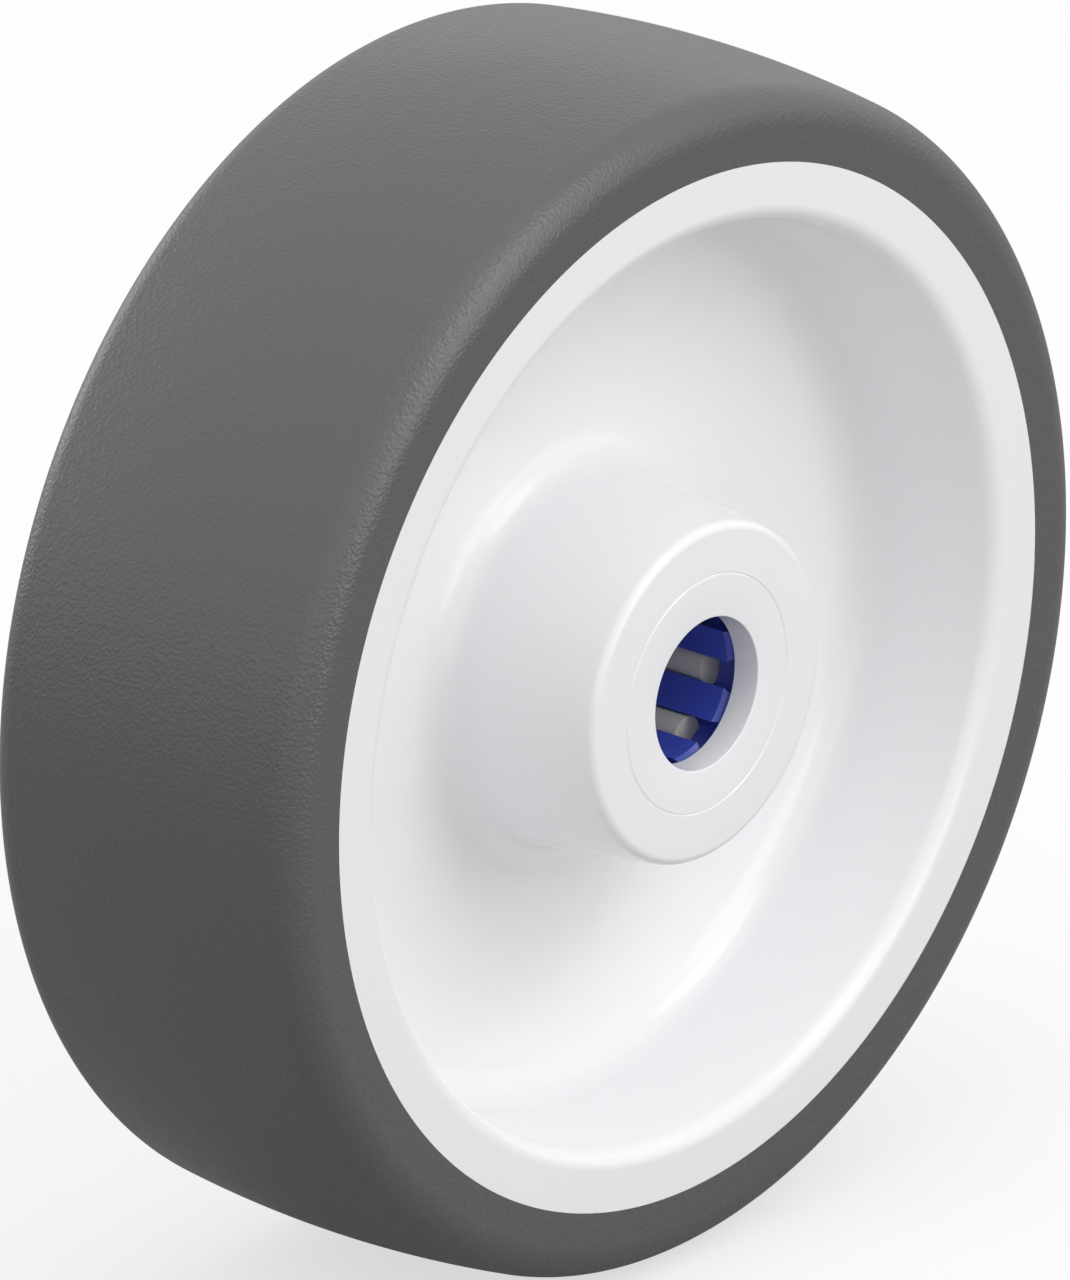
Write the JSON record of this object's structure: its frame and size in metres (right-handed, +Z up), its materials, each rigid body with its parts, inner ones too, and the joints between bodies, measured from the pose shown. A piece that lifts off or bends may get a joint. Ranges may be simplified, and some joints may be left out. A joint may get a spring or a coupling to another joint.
{
  "type": "castor wheel",
  "caption": "Castor wheel: grey elastomer tread moulded on a white plastic centre, deeply dished on both sides, with a caged roller bearing in a long hub.",
  "frame": {"origin": "centre of the wheel, on the axle's line and in the middle plane of the tread", "axes": "+Y along the axle towards the rear face, +Z up, +X across; the wheel spins about +Y and its front face looks along -Y"},
  "size_m": [0.125, 0.0446, 0.125],
  "materials": {
    "white_polypropylene": "smooth moulded, soft gloss",
    "grey_elastomer": "matt, fine moulded grain",
    "blue_nylon": "smooth moulded",
    "roller_steel": "ground, light grey phosphate"
  },
  "bodies": {
    "wheel": {"wheel_centre": "white_polypropylene", "tread": "grey_elastomer", "front_end_cap": "white_polypropylene", "rear_end_cap": "white_polypropylene"},
    "cage": {"roller_cage": "blue_nylon"},
    "roller_1_body": {"roller_1": "roller_steel"},
    "roller_2_body": {"roller_2": "roller_steel"},
    "roller_3_body": {"roller_3": "roller_steel"},
    "roller_4_body": {"roller_4": "roller_steel"},
    "roller_5_body": {"roller_5": "roller_steel"},
    "roller_6_body": {"roller_6": "roller_steel"},
    "roller_7_body": {"roller_7": "roller_steel"},
    "roller_8_body": {"roller_8": "roller_steel"}
  },
  "joints": [
    {"name": "cage_spin", "type": "hinge", "parent": "wheel", "child": "cage", "pos_m": [0, 0, 0], "axis": [0, 1, 0], "continuous": true},
    {"name": "roller_1_spin", "type": "hinge", "parent": "cage", "child": "roller_1_body", "pos_m": [0.00181, 0, 0.00958], "axis": [0, 1, 0], "continuous": true},
    {"name": "roller_2_spin", "type": "hinge", "parent": "cage", "child": "roller_2_body", "pos_m": [0.00805, 0, 0.00549], "axis": [0, 1, 0], "continuous": true},
    {"name": "roller_3_spin", "type": "hinge", "parent": "cage", "child": "roller_3_body", "pos_m": [0.00958, 0, -0.00181], "axis": [0, 1, 0], "continuous": true},
    {"name": "roller_4_spin", "type": "hinge", "parent": "cage", "child": "roller_4_body", "pos_m": [0.00549, 0, -0.00805], "axis": [0, 1, 0], "continuous": true},
    {"name": "roller_5_spin", "type": "hinge", "parent": "cage", "child": "roller_5_body", "pos_m": [-0.00181, 0, -0.00958], "axis": [0, 1, 0], "continuous": true},
    {"name": "roller_6_spin", "type": "hinge", "parent": "cage", "child": "roller_6_body", "pos_m": [-0.00805, 0, -0.00549], "axis": [0, 1, 0], "continuous": true},
    {"name": "roller_7_spin", "type": "hinge", "parent": "cage", "child": "roller_7_body", "pos_m": [-0.00958, 0, 0.00181], "axis": [0, 1, 0], "continuous": true},
    {"name": "roller_8_spin", "type": "hinge", "parent": "cage", "child": "roller_8_body", "pos_m": [-0.00549, 0, 0.00805], "axis": [0, 1, 0], "continuous": true}
  ],
  "couplings": [
    {"joint": "roller_1_spin", "follows": "cage_spin", "ratio": -5.875},
    {"joint": "roller_2_spin", "follows": "cage_spin", "ratio": -5.875},
    {"joint": "roller_3_spin", "follows": "cage_spin", "ratio": -5.875},
    {"joint": "roller_4_spin", "follows": "cage_spin", "ratio": -5.875},
    {"joint": "roller_5_spin", "follows": "cage_spin", "ratio": -5.875},
    {"joint": "roller_6_spin", "follows": "cage_spin", "ratio": -5.875},
    {"joint": "roller_7_spin", "follows": "cage_spin", "ratio": -5.875},
    {"joint": "roller_8_spin", "follows": "cage_spin", "ratio": -5.875}
  ]
}
